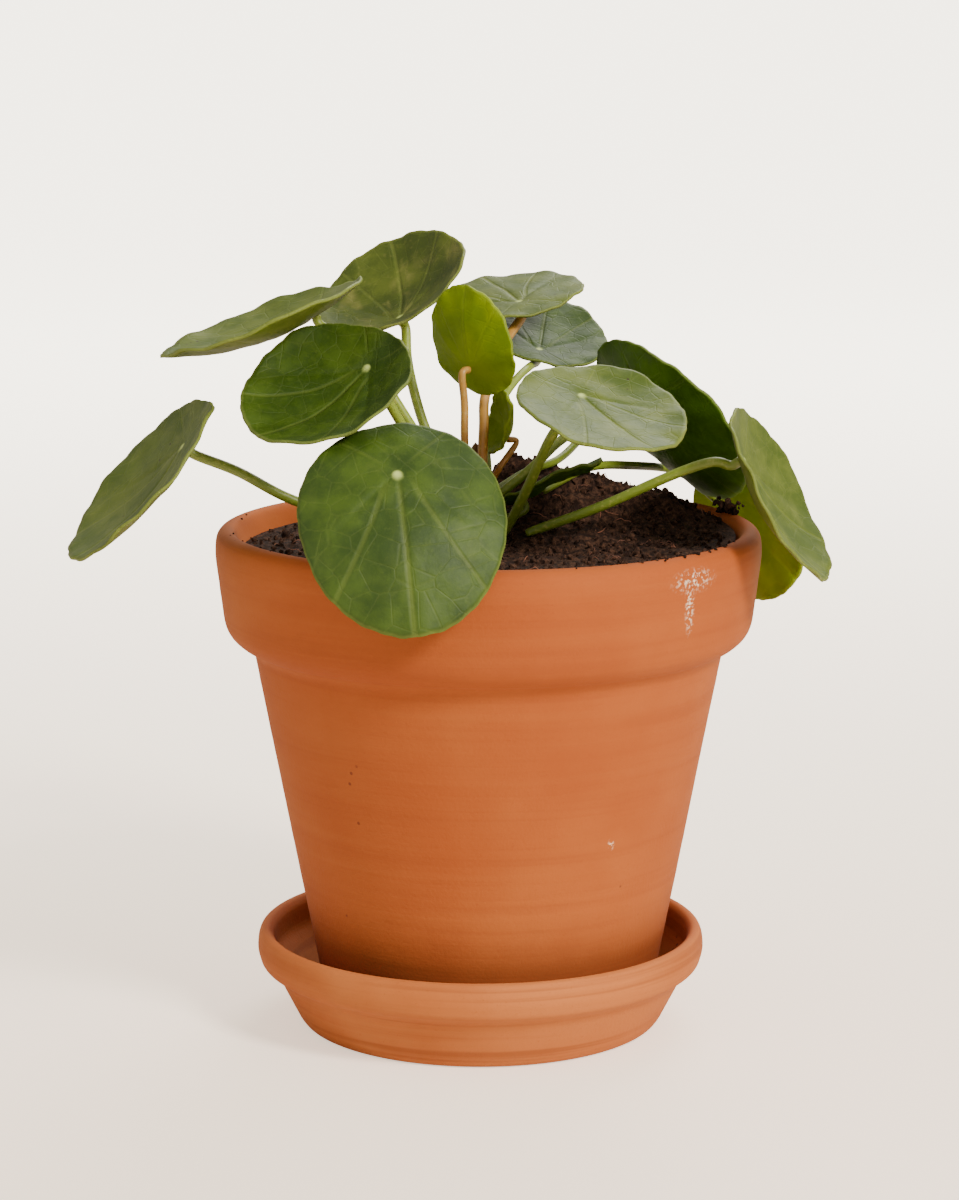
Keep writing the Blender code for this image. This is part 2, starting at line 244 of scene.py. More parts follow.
@dataclass(frozen=True)
class ClayFinish:
    """Dry fired clay with throwing lines and specks."""

    name: str
    body: Colour
    pale: Colour
    dark: Colour
    lines: float
    marked: bool

    def material(self) -> Any:
        """Build the clay."""
        graph = Graph(self.name)
        place = graph.place()
        broad = graph.step(graph.noise(place, 9.0, 4.0), 0.35, 0.68)
        rings = graph.noise(graph.stretched((6.0, 6.0, 260.0)), 1.0, 3.0)
        grain = graph.noise(place, 900.0, 3.0, 0.6)
        colour = graph.mix(broad, self.body, self.pale)
        colour = graph.mix(graph.step(rings, 0.5, 0.75) * self.lines, colour, self.pale)
        colour = graph.mix(graph.step(rings, 0.5, 0.3) * self.lines, colour, self.dark)
        colour = graph.mix(graph.step(grain, 0.62, 0.75) * 0.25, colour, self.dark)
        specks = 1.0 - graph.step(graph.cells(place, 150.0), 0.05, 0.11)
        sparse = graph.step(graph.noise(place, 40.0, 1.0), 0.62, 0.7)
        colour = graph.mix(specks * sparse * 0.8, colour, srgb(96, 44, 24))
        if self.marked:
            colour = self.marks(graph, colour)
        height = grain * 0.35 + rings * 0.8 + graph.noise(place, 120.0, 3.0) * 0.5
        normal = graph.bump(height, 0.0005, 0.55)
        return graph.finish({"Base Color": colour, "Roughness": 0.82, "Normal": normal,
                             "Specular IOR Level": 0.3})

    def marks(self, graph: Graph, colour: Value) -> Value:
        """Add the lime smear, painted shade that darkens the foot, the stain at the rim and a pale scratch.

        Args:
            graph: the clay's graph.
            colour: its colour so far.

        Returns:
            The marked colour.
        """
        place = graph.place()
        broken = graph.step(graph.noise(place, 900.0, 3.0), 0.48, 0.62)
        smear = graph.near((0.0605, -0.059, 0.1515), 0.0, 1.0, (105.0, 60.0, 215.0))
        drip = graph.near((0.0595, -0.059, 0.1435), 0.0, 1.0, (520.0, 60.0, 90.0))
        lime = smear.maximum(drip) * broken
        colour = graph.mix(lime * 0.9, colour, srgb(244, 226, 196))
        height = graph.node("ShaderNodeSeparateXYZ", {}, {0: place}, "Z")
        # Painted shade: the clay darkens towards the foot, where the pot stands inside the saucer.
        painted_foot_shade = 1.0 - graph.step(height + graph.noise(place, 60.0, 3.0) * 0.01, 0.022, 0.056)
        colour = graph.mix(painted_foot_shade * 0.7, colour, srgb(104, 40, 14))
        stain = graph.near((0.0835, -0.012, 0.150), 0.1, 1.0, (45.0, 45.0, 60.0))
        colour = graph.mix(stain * 0.5, colour, srgb(120, 82, 40))
        scratch = graph.near((0.037, -0.0545, 0.069), 0.2, 1.0, (700.0, 60.0, 420.0)) * broken
        return graph.mix(scratch * 0.8, colour, srgb(240, 205, 170))


@dataclass(frozen=True)
class SoilFinish:
    """Moist, fibrous potting soil."""

    name: str = "moist_soil"
    wet: Colour = srgb(30, 15, 8)
    dry: Colour = srgb(84, 57, 42)

    def material(self) -> Any:
        """Build the soil."""
        graph = Graph(self.name)
        place = graph.place()
        crumbs = graph.noise(place, 420.0, 5.0, 0.65)
        fibres = graph.noise(graph.stretched((1400.0, 260.0, 600.0)), 1.0, 2.0)
        colour = graph.mix(graph.step(crumbs, 0.38, 0.72), self.wet, self.dry)
        colour = graph.mix(graph.step(fibres, 0.66, 0.78) * 0.6, colour, srgb(120, 80, 60))
        normal = graph.bump(crumbs + fibres * 0.5, 0.0012, 0.9)
        return graph.finish({"Base Color": colour, "Roughness": 0.95, "Normal": normal,
                             "Specular IOR Level": 0.2})


@dataclass(frozen=True)
class BladeFinish:
    """Skin of one side of a leaf blade: mottled green, veins, pale hub and margin."""

    name: str
    deep: Colour
    fresh: Colour
    streak: Colour
    streaks: float
    gloss: float
    vein: float
    see_through: float
    soiled: float = 0.0

    def material(self) -> Any:
        """Build the skin."""
        graph = Graph(self.name)
        place = graph.place()
        flat = graph.node("ShaderNodeUVMap", {"uv_map": "flat"})
        polar = graph.node("ShaderNodeUVMap", {"uv_map": "polar"})
        along = graph.node("ShaderNodeSeparateXYZ", {}, {0: flat}, "X")
        across = graph.node("ShaderNodeSeparateXYZ", {}, {0: flat}, "Y")
        reach = graph.node("ShaderNodeSeparateXYZ", {}, {0: polar}, "X")
        mottle = graph.step(graph.noise(place, 75.0, 4.0, 0.6), 0.36, 0.66)
        fine = graph.noise(place, 520.0, 3.0)
        colour = graph.mix(mottle, self.deep, self.fresh)
        rays = graph.noise(polar_fan(graph, polar), 1.0, 3.0)
        colour = graph.mix(graph.step(rays, 0.50, 0.74) * self.streaks, colour, self.streak)
        colour = graph.mix(graph.step(fine, 0.58, 0.72) * 0.18, colour, self.streak)
        veins = self.main_veins(graph, along, across)
        net = 1.0 - graph.step(graph.cells(flat, 9.0, "DISTANCE_TO_EDGE"), 0.0, 0.05)
        light = self.lighter(0.55)
        colour = graph.mix((veins * self.vein).maximum(net * self.vein * 0.30), colour, light)
        hub = 1.0 - graph.step(reach, 0.01, 0.07)
        colour = graph.mix(hub * 0.85, colour, srgb(196, 214, 120))
        margin = graph.step(reach, 0.975, 0.997)
        colour = graph.mix(margin * 0.35, colour, light)
        if self.soiled > 0.0:
            dots = 1.0 - graph.step(graph.cells(place, 330.0), 0.10, 0.16)
            sparse = graph.step(graph.noise(place, 95.0, 1.0), 0.60, 0.64)
            colour = graph.mix(dots * sparse * self.soiled, colour, srgb(52, 36, 26))
        height = veins * -0.7 + net * -0.25 + fine * 0.35 + mottle * 0.4
        rough = self.gloss + fine * 0.12
        wanted = {"Base Color": colour, "Roughness": rough, "Specular IOR Level": 0.28,
                  "Normal": graph.bump(height, 0.0005, 0.5)}
        return graph.finish(wanted, self.see_through, self.lighter(0.25))

    def lighter(self, share: float) -> Colour:
        """The fresh colour moved towards a pale yellow-green."""
        pale = srgb(176, 186, 92)
        return tuple(a + (b - a) * share for a, b in zip(self.fresh, pale))

    def main_veins(self, graph: Graph, along: Value, across: Value) -> Value:
        """Draw three veins from the hub to the tip side and two short ones behind it.

        Args:
            graph: the skin's graph.
            along: place along the blade, 0 at the hub.
            across: place across the blade.

        Returns:
            1 on a vein and 0 off it.
        """
        ahead = graph.step(along, 0.0, 0.12)
        behind = 1.0 - graph.step(along, -0.12, 0.0)
        side = abs(across)
        middle = (1.0 - graph.step(side, 0.004, 0.020)) * ahead
        bow = along.maximum(0.0).power(1.35) * 0.62
        lateral = (1.0 - graph.step(abs(side - 0.05 - bow), 0.004, 0.020)) * ahead
        back = (1.0 - graph.step(abs(side + along * 1.15), 0.004, 0.018)) * behind
        return middle.maximum(lateral * 0.8).maximum(back * 0.6)


def polar_fan(graph: Graph, polar: Value) -> Value:
    """Stretch the polar map so that noise on it makes streaks that run out from the hub."""
    return graph.node("ShaderNodeMapping", {}, {"Vector": polar, "Scale": (3.0, 9.0, 1.0)})


@dataclass(frozen=True)
class StalkFinish:
    """A stalk's skin, darker or redder near the soil."""

    name: str
    upper: Colour
    lower: Colour

    def material(self) -> Any:
        """Build the skin."""
        graph = Graph(self.name)
        height = graph.node("ShaderNodeSeparateXYZ", {}, {0: graph.place()}, "Z")
        speckle = graph.noise(graph.place(), 700.0, 3.0)
        colour = graph.mix(graph.step(height + speckle * 0.012, 0.160, 0.205), self.lower, self.upper)
        colour = graph.mix(graph.step(speckle, 0.55, 0.7) * 0.3, colour, srgb(186, 176, 98))
        return graph.finish({"Base Color": colour, "Roughness": 0.42, "Specular IOR Level": 0.5,
                             "Normal": graph.bump(speckle, 0.0003, 0.4)})


@dataclass(frozen=True)
class FibreFinish:
    """Thin dry fibre or bud skin, mixed from two colours."""

    name: str
    light: Colour
    dark: Colour

    def material(self) -> Any:
        """Build the skin."""
        graph = Graph(self.name)
        patch = graph.step(graph.noise(graph.place(), 160.0, 2.0), 0.4, 0.62)
        return graph.finish({"Base Color": graph.mix(patch, self.dark, self.light), "Roughness": 0.8})


@dataclass(frozen=True)
class BarkFinish:
    """Brown scarred bark of the short stem."""

    name: str = "stem_bark_skin"

    def material(self) -> Any:
        """Build the bark."""
        graph = Graph(self.name)
        rough = graph.noise(graph.stretched((500.0, 500.0, 160.0)), 1.0, 4.0)
        colour = graph.mix(graph.step(rough, 0.35, 0.7), srgb(66, 40, 22), srgb(132, 96, 54))
        return graph.finish({"Base Color": colour, "Roughness": 0.8,
                             "Normal": graph.bump(rough, 0.0008, 0.8)})


class Tone(Enum):
    """Colour of a leaf's upper and lower skin."""

    DARK = "dark"
    OLIVE = "olive"
    PALE = "pale"
    FRESH = "fresh"
    LIME = "lime"


TOP_SKINS = {
    Tone.DARK: BladeFinish("dark_top",
        srgb(40, 62, 6), srgb(62, 84, 14), srgb(84, 100, 34),
        0.22, 0.50, 0.15, 0.08),
    Tone.OLIVE: BladeFinish("olive_top",
        srgb(56, 70, 10), srgb(80, 92, 22), srgb(132, 128, 68),
        0.5, 0.50, 0.15, 0.10),
    Tone.PALE: BladeFinish("pale_top",
        srgb(66, 84, 18), srgb(90, 104, 34), srgb(118, 126, 62),
        0.3, 0.48, 0.17, 0.10, 0.9),
    Tone.FRESH: BladeFinish("fresh_top",
        srgb(46, 74, 4), srgb(68, 98, 10), srgb(88, 112, 30),
        0.2, 0.50, 0.15, 0.12),
    Tone.LIME: BladeFinish("lime_top",
        srgb(118, 140, 0), srgb(146, 166, 4), srgb(164, 174, 30),
        0.2, 0.48, 0.2, 0.35),
}
UNDER_SKINS = {
    Tone.DARK: BladeFinish("dark_under",
        srgb(72, 94, 14), srgb(92, 112, 26), srgb(114, 128, 50),
        0.2, 0.55, 0.15, 0.12),
    Tone.OLIVE: BladeFinish("olive_under",
        srgb(72, 84, 12), srgb(94, 104, 28), srgb(132, 132, 66),
        0.4, 0.55, 0.15, 0.12),
    Tone.PALE: BladeFinish("pale_under",
        srgb(90, 106, 24), srgb(112, 124, 44), srgb(138, 146, 74),
        0.2, 0.55, 0.15, 0.12),
    Tone.FRESH: BladeFinish("fresh_under",
        srgb(54, 90, 0), srgb(76, 118, 0), srgb(98, 132, 12),
        0.2, 0.52, 0.14, 0.3),
    Tone.LIME: BladeFinish("lime_under",
        srgb(116, 142, 0), srgb(146, 168, 0), srgb(160, 180, 20),
        0.2, 0.5, 0.15, 0.42),
}
SAUCER_CLAY = ClayFinish("saucer_clay_skin", srgb(168, 88, 34), srgb(188, 112, 56),
                         srgb(136, 64, 22), 0.55, False)
POT_CLAY = ClayFinish("pot_clay_skin", srgb(158, 76, 24), srgb(172, 92, 36), srgb(138, 60, 18), 0.22, True)
GREEN_STALK = StalkFinish("green_stalk_skin", srgb(132, 150, 50), srgb(98, 116, 26))
RED_STALK = StalkFinish("red_stalk_skin", srgb(172, 126, 54), srgb(142, 72, 30))


# ------------------------------------------------------------------ mesh tools


def finished(name: str, shape: bmesh.types.BMesh, materials: Sequence[Any], smooth: bool = True) -> Any:
    """Turn a bmesh into an object at the origin.

    Args:
        name: the piece's name.
        shape: its mesh, which is freed.
        materials: its material slots in order.
        smooth: whether its faces are shaded smooth.

    Returns:
        The object.
    """
    mesh = bpy.data.meshes.new(name)
    shape.to_mesh(mesh)
    shape.free()
    for material in materials:
        mesh.materials.append(material)
    if smooth:
        mesh.shade_smooth()
    piece = bpy.data.objects.new(name, mesh)
    bpy.context.scene.collection.objects.link(piece)
    return piece


def adopt(piece: Any, slot: str, *nodes: str) -> None:
    """Tie a piece to the frame's root body and hide the nodes that it stands for."""
    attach(piece, "root")
    if nodes:
        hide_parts(*nodes)
    LOG.info("%s: %d faces, for %s", piece.name, len(piece.data.polygons), ", ".join(nodes) or "trim")


def rounded(profile: Profile, radius: float, steps: int = 4) -> Profile:
    """Round the corners of a profile.

    Args:
        profile: points of (radius, height).
        radius: longest cut along an edge from a corner.
        steps: points on each rounded corner.

    Returns:
        The profile with its inner corners rounded.
    """
    points = [Vector(point) for point in profile]
    smooth = [points[0]]
    for before, corner, after in zip(points, points[1:], points[2:]):
        back, ahead = before - corner, after - corner
        start = corner + back.normalized() * min(radius, back.length * 0.45)
        end = corner + ahead.normalized() * min(radius, ahead.length * 0.45)
        for step in range(steps + 1):
            t = step / steps
            smooth.append(start * (1 - t) ** 2 + corner * (2 * t * (1 - t)) + end * t ** 2)
    smooth.append(points[-1])
    return [(point.x, point.y) for point in smooth]


def filled_in(profile: Profile, longest: float) -> Profile:
    """Add points so that no edge of a profile is longer than a length.

    Args:
        profile: points of (radius, height).
        longest: the longest edge allowed.

    Returns:
        The profile with the points added.
    """
    dense = [profile[0]]
    for start, end in zip(profile, profile[1:]):
        count = max(1, math.ceil(math.dist(start, end) / longest))
        for step in range(1, count + 1):
            t = step / count
            dense.append((start[0] + (end[0] - start[0]) * t, start[1] + (end[1] - start[1]) * t))
    return dense


def spun(profile: Profile, steps: int) -> bmesh.types.BMesh:
    """Spin a profile in millimetres into a closed round solid with outward faces.

    Args:
        profile: points of (radius, height).
        steps: sides of the solid.

    Returns:
        The mesh in metres.
    """
    shape = bmesh.new()
    corners = [shape.verts.new((radius * MM, 0.0, height * MM)) for radius, height in profile]
    edges = [shape.edges.new(pair) for pair in zip(corners, corners[1:])]
    bmesh.ops.spin(shape, geom=corners + edges, axis=(0.0, 0.0, 1.0), cent=(0.0, 0.0, 0.0),
                   angle=2.0 * math.pi, steps=steps, use_merge=True)
    bmesh.ops.remove_doubles(shape, verts=shape.verts, dist=0.000005)
    bmesh.ops.recalc_face_normals(shape, faces=shape.faces)
    return shape


def seat(shape: bmesh.types.BMesh, node: str) -> None:
    """Move a shape so that the middle of its box is the middle of a CAD node's box."""
    low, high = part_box(node)
    own = [[vertex.co[axis] for vertex in shape.verts] for axis in range(3)]
    middle = Vector([(min(values) + max(values)) / 2.0 for values in own])
    bmesh.ops.translate(shape, vec=(low + high) / 2.0 - middle, verts=shape.verts)


def ripple(place: Vector, scale: float, seed: float = 0.0) -> float:
    """Smooth noise between about -1 and 1 at a place in metres."""
    return noise.fractal(place * scale + Vector((seed, seed, seed)), 1.0, 2.0, 4)


# ---------------------------------------------------------------------- pieces


@dataclass
class Crockery:
    """The pot and its saucer, turned in their own sizes and seated on the frame."""

    steps: int = 144
    wobble: float = 0.22
    pot: Profile = field(default_factory=lambda: [
        (6.0, 12.0), (6.0, 15.3), (44.4, 15.3), (47.4, 17.8), (66.7, 118.0), (78.6, 156.5), (80.3, 158.5),
        (83.0, 158.2), (84.6, 156.6), (85.2, 154.0), (85.2, 149.5), (82.6, 129.0), (81.0, 125.5),
        (78.0, 122.9), (75.2, 121.7), (73.6, 119.9), (73.1, 118.0), (52.3, 9.8), (50.5, 8.3), (6.0, 8.3),
        (6.0, 12.0)])
    saucer: Profile = field(default_factory=lambda: [
        (0.0, 8.0), (53.5, 8.0), (57.0, 11.0), (65.2, 21.3), (65.8, 28.0), (66.9, 29.8), (68.1, 30.3),
        (69.6, 29.8), (70.6, 27.8), (71.0, 23.8), (69.8, 19.3), (66.7, 17.3), (64.4, 14.9), (57.8, 2.0),
        (56.0, 0.0), (0.0, 0.0)])

    def uneven(self, shape: bmesh.types.BMesh, lowest: float) -> None:
        """Give a turned shape the slight unevenness of pressed clay.

        Args:
            shape: the turned mesh.
            lowest: height in millimetres below which nothing moves.
        """
        for vertex in shape.verts:
            if vertex.co.z < lowest * MM or math.hypot(vertex.co.x, vertex.co.y) < 0.03:
                continue
            outwards = Vector((vertex.co.x, vertex.co.y, 0.0)).normalized()
            rings = noise.noise(Vector((0.0, 0.0, vertex.co.z * 420.0))) * 0.35
            vertex.co += outwards * (ripple(vertex.co, 14.0, 3.0) * 0.6 + rings) * self.wobble * MM

    def make_pot(self, clay: Any) -> None:
        """Turn the pot."""
        shape = spun(filled_in(rounded(self.pot, 1.6), 3.0), self.steps)
        self.uneven(shape, 12.0)
        seat(shape, "pot")
        adopt(finished("clay_pot", shape, [clay]), "pot_clay", "pot")

    def make_saucer(self, clay: Any) -> None:
        """Turn the saucer."""
        shape = spun(filled_in(rounded(self.saucer, 1.4), 2.0), self.steps)
        self.uneven(shape, 1.5)
        seat(shape, "saucer")
        adopt(finished("clay_saucer", shape, [clay]), "saucer_clay", "saucer")


@dataclass
class SoilBed:
    """The soil's surface, its loose crumbs and rootlets, all laid on the frame's own soil."""

    crumb_count: int = 1500
    rim_patches: tuple = ((19.0, 3.2, 46, 1.7), (-37.0, 9.0, 30, 0.8), (-52.0, 8.0, 22, 0.7),
                          (200.0, 30.0, 10, 0.4), (-100.0, 10.0, 8, 0.5))
    root_count: int = 70
    seed: int = 7
    tree: Any = None
    reach: float = 0.0
    floor: float = 0.0
    rim_top: float = 0.0
    rim_reach: float = 0.0

    def measure(self, node: Any) -> None:
        """Read the frame's soil surface and the pot's rim.

        Args:
            node: the frame's soil.
        """
        low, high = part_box("soil")
        pot_low, pot_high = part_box("pot")
        shape = bmesh.new()
        shape.from_mesh(node.data)
        self.tree = BVHTree.FromBMesh(shape)
        shape.free()
        self.reach = (high.x - low.x) / 2.0 / MM
        self.floor = low.z / MM
        self.rim_top = pot_high.z / MM
        self.rim_reach = (pot_high.x - pot_low.x) / 2.0 / MM - 4.6

    def height(self, x: float, y: float) -> float:
        """Height of the frame's soil, past its sockets and blended over its facets.

        Args:
            x: place in millimetres.
            y: place in millimetres.

        Returns:
            The height in millimetres.
        """
        for spread in (3.0, 7.0, 12.0):
            found = []
            for step_x, step_y in ((0, 0), (1, 0), (-1, 0), (0, 1), (0, -1),
                                   (1, 1), (-1, -1), (1, -1), (-1, 1)):
                place = Vector((x + step_x * spread, y + step_y * spread))
                if place.length > self.reach - 1.5:
                    place *= (self.reach - 1.5) / place.length
                above = Vector((place.x * MM, place.y * MM, 1.0))
                hit = self.tree.ray_cast(above, Vector((0.0, 0.0, -1.0)))[0]
                if hit and hit.z / MM > self.rim_top - 8.0:
                    found.append(hit.z / MM)
            if found:
                return sum(found) / len(found)
        return self.rim_top - 4.0

    def lumpy(self, x: float, y: float) -> float:
        """Height with lumps, stronger on the mounds.

        Args:
            x: place in millimetres.
            y: place in millimetres.

        Returns:
            The height in millimetres.
        """
        smooth = self.height(x, y)
        place = Vector((x, y, 0.0)) * MM
        strength = 0.9 + max(0.0, smooth - self.rim_top + 1.5) * 0.10
        lumps = ripple(place, 150.0, 1.7) * 1.1 + ripple(place, 520.0, 9.1) * 0.9
        edge = min(1.0, max(0.15, (self.reach - math.hypot(x, y)) / 6.0))
        return smooth + lumps * strength * edge - 0.3

    def make_bed(self, soil: Any) -> None:
        """Make the soil body, a plug whose top is lumpy.

        Args:
            soil: its material.
        """
        top = self.rim_top - 3.0
        rings = [((self.reach - 0.4) * ring / 95.0, top) for ring in range(96)]
        foot = self.floor + 2.0
        side = [(self.reach * 0.86, top - 37.0), (self.reach * 0.6, foot), (0.0, foot)]
        shape = spun(rings + side, 200)
        for vertex in shape.verts:
            if vertex.co.z > (top - 0.5) * MM:
                vertex.co.z = self.lumpy(vertex.co.x / MM, vertex.co.y / MM) * MM
        adopt(finished("soil_bed", shape, [soil]), "potting_soil", "soil")

    def make_crumbs(self, soil: Any) -> None:
        """Scatter loose crumbs on the soil and a few on the pot's rim.

        Args:
            soil: their material.
        """
        draw = random.Random(self.seed)
        shape = bmesh.new()
        for _ in range(self.crumb_count):
            reach, turn = (self.reach - 2.5) * math.sqrt(draw.random()), draw.uniform(0.0, 2.0 * math.pi)
            x, y = reach * math.cos(turn), reach * math.sin(turn)
            size = draw.uniform(0.35, 1.0) + 0.9 * draw.random() ** 4
            self.crumb(shape, draw, Vector((x, y, self.lumpy(x, y) + size * 0.3)), size)
        for turn, spread, count, largest in self.rim_patches:
            for _ in range(count):
                angle = math.radians(turn + draw.gauss(0.0, spread))
                reach = self.rim_reach + draw.gauss(0.0, 1.5 if largest > 1.0 else 0.9)
                size = draw.uniform(0.3, largest)
                lift = self.rim_top - 0.1 + (draw.random() * 3.6 if largest > 1.0 else 0.0)
                place = Vector((reach * math.cos(angle), reach * math.sin(angle), lift))
                self.crumb(shape, draw, place, size)
        adopt(finished("soil_crumbs", shape, [soil], False), "potting_soil")

    def crumb(self, shape: bmesh.types.BMesh, draw: random.Random, place: Vector, size: float) -> None:
        """Add one irregular crumb.

        Args:
            shape: the mesh that it joins.
            draw: the seeded random numbers.
            place: its middle, in millimetres.
            size: its radius, in millimetres.
        """
        made = bmesh.ops.create_icosphere(shape, subdivisions=1, radius=size * MM)["verts"]
        wide, deep, tall = draw.uniform(0.7, 1.4), draw.uniform(0.7, 1.2), draw.uniform(0.6, 1.0)
        squash = Matrix.Diagonal((wide, deep, tall, 1.0))
        turn = Euler([draw.uniform(0.0, 3.0) for _ in range(3)]).to_matrix().to_4x4()
        for vertex in made:
            vertex.co *= draw.uniform(0.7, 1.25)
        bmesh.ops.transform(shape, matrix=Matrix.Translation(place * MM) @ turn @ squash, verts=made)

    def make_roots(self, fibre: Any) -> None:
        """Lay fine reddish fibres that stick out of the soil.

        Args:
            fibre: their material.
        """
        draw = random.Random(self.seed + 1)
        curve = bpy.data.curves.new("fibres", "CURVE")
        curve.dimensions = "3D"
        curve.bevel_depth = 0.13 * MM
        curve.bevel_resolution = 0
        curve.use_fill_caps = True
        for _ in range(self.root_count):
            reach, turn = (self.reach - 6.0) * math.sqrt(draw.random()), draw.uniform(0.0, 2.0 * math.pi)
            x, y = reach * math.cos(turn), reach * math.sin(turn)
            heading = draw.uniform(0.0, 2.0 * math.pi)
            spline = curve.splines.new("POLY")
            spline.points.add(5)
            for step, control in enumerate(spline.points):
                heading += draw.gauss(0.0, 0.45)
                x += 1.1 * math.cos(heading)
                y += 1.1 * math.sin(heading)
                lift = 0.2 + 1.3 * math.sin(math.pi * step / 5.0) * draw.uniform(0.3, 1.0)
                control.co = (x * MM, y * MM, (self.lumpy(x, y) + lift) * MM, 1.0)
        holder = bpy.data.objects.new("fibres", curve)
        mesh = bpy.data.meshes.new_from_object(holder)
        bpy.data.objects.remove(holder)
        shape = bmesh.new()
        shape.from_mesh(mesh)
        bmesh.ops.remove_doubles(shape, verts=shape.verts, dist=0.000001)
        bmesh.ops.recalc_face_normals(shape, faces=shape.faces)
        adopt(finished("soil_fibres", shape, [fibre]), "potting_soil")


@dataclass
class Leaf:
    """One round leaf on its stalk: sizes in millimetres and angles in degrees, placed by the frame."""

    name: str
    tone: Tone
    length: float
    width_ratio: float
    azimuth: float
    elevation: float
    roll: float
    cup: float
    hub_share: float
    red: bool = False
    segments: int = 120
    rings: int = 18
    thickness: float = 0.9
    egg: float = 0.08
    scallops: float = 15.0
    scallop_depth: float = 0.010
    wave: float = 0.55
    ruffle: float = 0.32
    vein_angle: float = 0.85
    groove_width: float = 1.1
    groove_depth: float = 0.30
    dimple: float = 0.5
    pucker: float = 0.5
    stalk_push: float = 0.12

    def turn(self) -> Matrix:
        """Rotation from the blade's own axes to the frame's."""
        facing = Euler((0.0, math.radians(90.0 - self.elevation), math.radians(self.azimuth)), "XYZ")
        return facing.to_matrix() @ Matrix.Rotation(math.radians(self.roll), 3, "Z")

    def margin(self, angle: float, seed: float) -> float:
        """Outline factor near 1 that makes the margin gently scalloped."""
        scallop = abs(math.sin(angle * self.scallops + seed)) * self.scallop_depth
        drift = noise.noise(Vector((math.cos(angle) * 1.6, math.sin(angle) * 1.6, seed))) * 0.022
        return 0.994 + scallop + drift

    def surface(self, reach: float, angle: float, seed: float) -> Vector:
        """A point of the blade's middle surface in its own axes.

        Args:
            reach: 0 at the hub, 1 at the margin.
            angle: direction round the blade, in radians.
            seed: number that makes this blade differ from the others.

        Returns:
            The point in millimetres, hub at the origin, tip along +X.
        """
        hub_reach = 1.0 - 2.0 * self.hub_share
        edge = self.margin(angle, seed)
        along = -hub_reach * (1.0 - reach) + math.cos(angle) * reach * edge
        across = math.sin(angle) * reach * edge * self.width_ratio * (1.0 - self.egg * along)
        half = self.length / 2.0
        x, y = (along + hub_reach) * half, across * half
        z = self.cup * (along ** 2 + across ** 2 - hub_reach ** 2)
        z += self.wave * reach ** 4 * math.sin(angle * 5.0 + seed * 3.0)
        z += self.ruffle * reach ** 6 * math.sin(angle * 13.0 + seed)
        bearing, distance = math.atan2(y, x), math.hypot(x, y)
        groove = sum(math.exp(-((distance * math.sin(bearing - way)) / self.groove_width) ** 2)
                     for way in (0.0, self.vein_angle, -self.vein_angle) if math.cos(bearing - way) > 0.0)
        z -= self.groove_depth * groove * min(1.0, distance / 4.0) * (1.0 - reach ** 3)
        z -= self.dimple * math.exp(-(distance / 2.6) ** 2)
        z += self.pucker * noise.noise(Vector((x * 0.11, y * 0.11, seed)))
        return Vector((x, y, z))

    def make_blade(self, seed: float, skins: Sequence[Any]) -> None:
        """Build the blade from rings round the hub and give it a thin even wall.

        Args:
            seed: number that makes this blade differ from the others.
            skins: upper and lower materials.
        """
        shape = bmesh.new()
        bmesh.ops.create_circle(shape, segments=self.segments, radius=1.0)
        outer = sorted(shape.verts, key=lambda v: math.atan2(v.co.y, v.co.x) % (2.0 * math.pi))
        place = {vertex: (1.0, index) for index, vertex in enumerate(outer)}
        edges, last = list(shape.edges), set(outer)
        for ring in range(1, self.rings):
            reach = 1.0 - (ring / self.rings) ** 1.15
            grown = bmesh.ops.extrude_edge_only(shape, edges=edges)["geom"]
            fresh = {g for g in grown if isinstance(g, bmesh.types.BMVert)}
            made = [g for g in grown if isinstance(g, bmesh.types.BMEdge)]
            edges = [edge for edge in made if all(v in fresh for v in edge.verts)]
            for vertex in fresh:
                parent = next(e.other_vert(vertex) for e in vertex.link_edges if e.other_vert(vertex) in last)
                place[vertex] = (reach, place[parent][1])
            last = fresh
        middle = bmesh.ops.edgeloop_fill(shape, edges=edges)["faces"]
        centre = bmesh.ops.poke(shape, faces=middle)["verts"][0]
        place[centre] = (0.0, 0)
        own = {v: self.surface(reach, 2.0 * math.pi * index / self.segments, seed)
               for v, (reach, index) in place.items()}
        self.map_skin(shape, place, own, centre)
        turn = self.turn()
        for vertex, point in own.items():
            vertex.co = turn @ point * MM
        seat(shape, "blade_" + self.name)
        up = turn @ Vector((0.0, 0.0, 1.0))
        bmesh.ops.recalc_face_normals(shape, faces=shape.faces)
        if sum(face.normal.dot(up) for face in shape.faces) < 0.0:
            bmesh.ops.reverse_faces(shape, faces=shape.faces)
        blade = finished("leaf_" + self.name, shape, skins)
        wall = blade.modifiers.new("thickness", "SOLIDIFY")
        wall.thickness = self.thickness * MM
        wall.offset = 0.0
        wall.material_offset = 1
        wall.use_quality_normals = True
        adopt(blade, "lime_blade" if self.tone is Tone.LIME else "green_blade", "blade_" + self.name)

    def map_skin(self, shape: bmesh.types.BMesh, place: dict, own: dict, centre: Any) -> None:
        """Lay out the blade's two maps: along and across it, and reach and direction from its hub.

        Args:
            shape: the blade's mesh.
            place: each vertex's reach and its number round the ring.
            own: each vertex's place in the blade's own axes.
            centre: the vertex at the hub.
        """
        flat, polar = shape.loops.layers.uv.new("flat"), shape.loops.layers.uv.new("polar")
        for face in shape.faces:
            indices = [place[v][1] for v in face.verts if v is not centre]
            wraps = max(indices) - min(indices) > self.segments / 2
            for loop in face.loops:
                reach, index = place[loop.vert]
                if loop.vert is centre:
                    index = indices[0]
                if wraps and index < self.segments / 2:
                    index += self.segments
                loop[polar].uv = (reach, index / self.segments)
                loop[flat].uv = (own[loop.vert].x / self.length, own[loop.vert].y / self.length)

